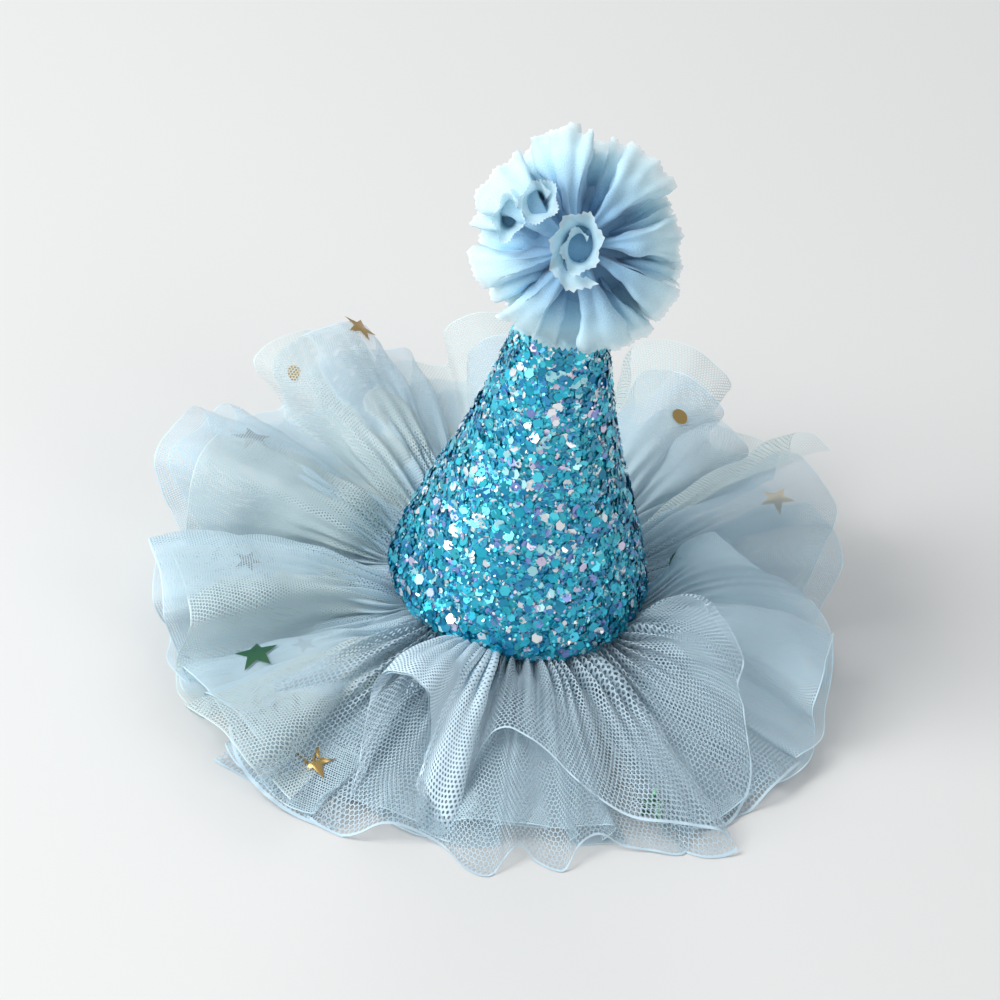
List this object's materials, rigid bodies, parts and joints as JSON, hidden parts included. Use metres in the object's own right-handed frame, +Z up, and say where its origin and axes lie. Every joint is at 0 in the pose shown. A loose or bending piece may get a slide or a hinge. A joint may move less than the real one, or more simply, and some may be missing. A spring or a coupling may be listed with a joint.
{
  "type": "birthday hat hair clip",
  "caption": "Mini party hat on a hair clip: turquoise glitter cone with a frilled chiffon pompom, standing in a gathered tulle ruffle with foil stars.",
  "frame": {"origin": "underside of the clip's prong, straight below the cone's axis", "axes": "+Z up along the cone's axis towards the pompom; -Y is the front, where the tulle droops to the surface; the clip runs along X, its lever at +X"},
  "size_m": [0.1192, 0.1209, 0.0975],
  "materials": {
    "clip_steel": "bright nickel-plated spring steel",
    "felt": "light-blue craft felt",
    "cream_tulle": "sheer cream tulle",
    "star_tulle": "fine sky-blue tulle with gold foil stars and dots",
    "coarse_net": "light-blue hexagonal net",
    "glitter": "chunky turquoise glitter sheet",
    "chiffon": "dusty-blue chiffon with pinked edges"
  },
  "bodies": {
    "root": {"hair_clip": "clip_steel", "base_disc": "felt", "cream_ruffle": "cream_tulle", "star_ruffle": "star_tulle", "net_ruffle": "coarse_net", "glitter_cone": "glitter", "pompom": "chiffon"}
  },
  "joints": []
}
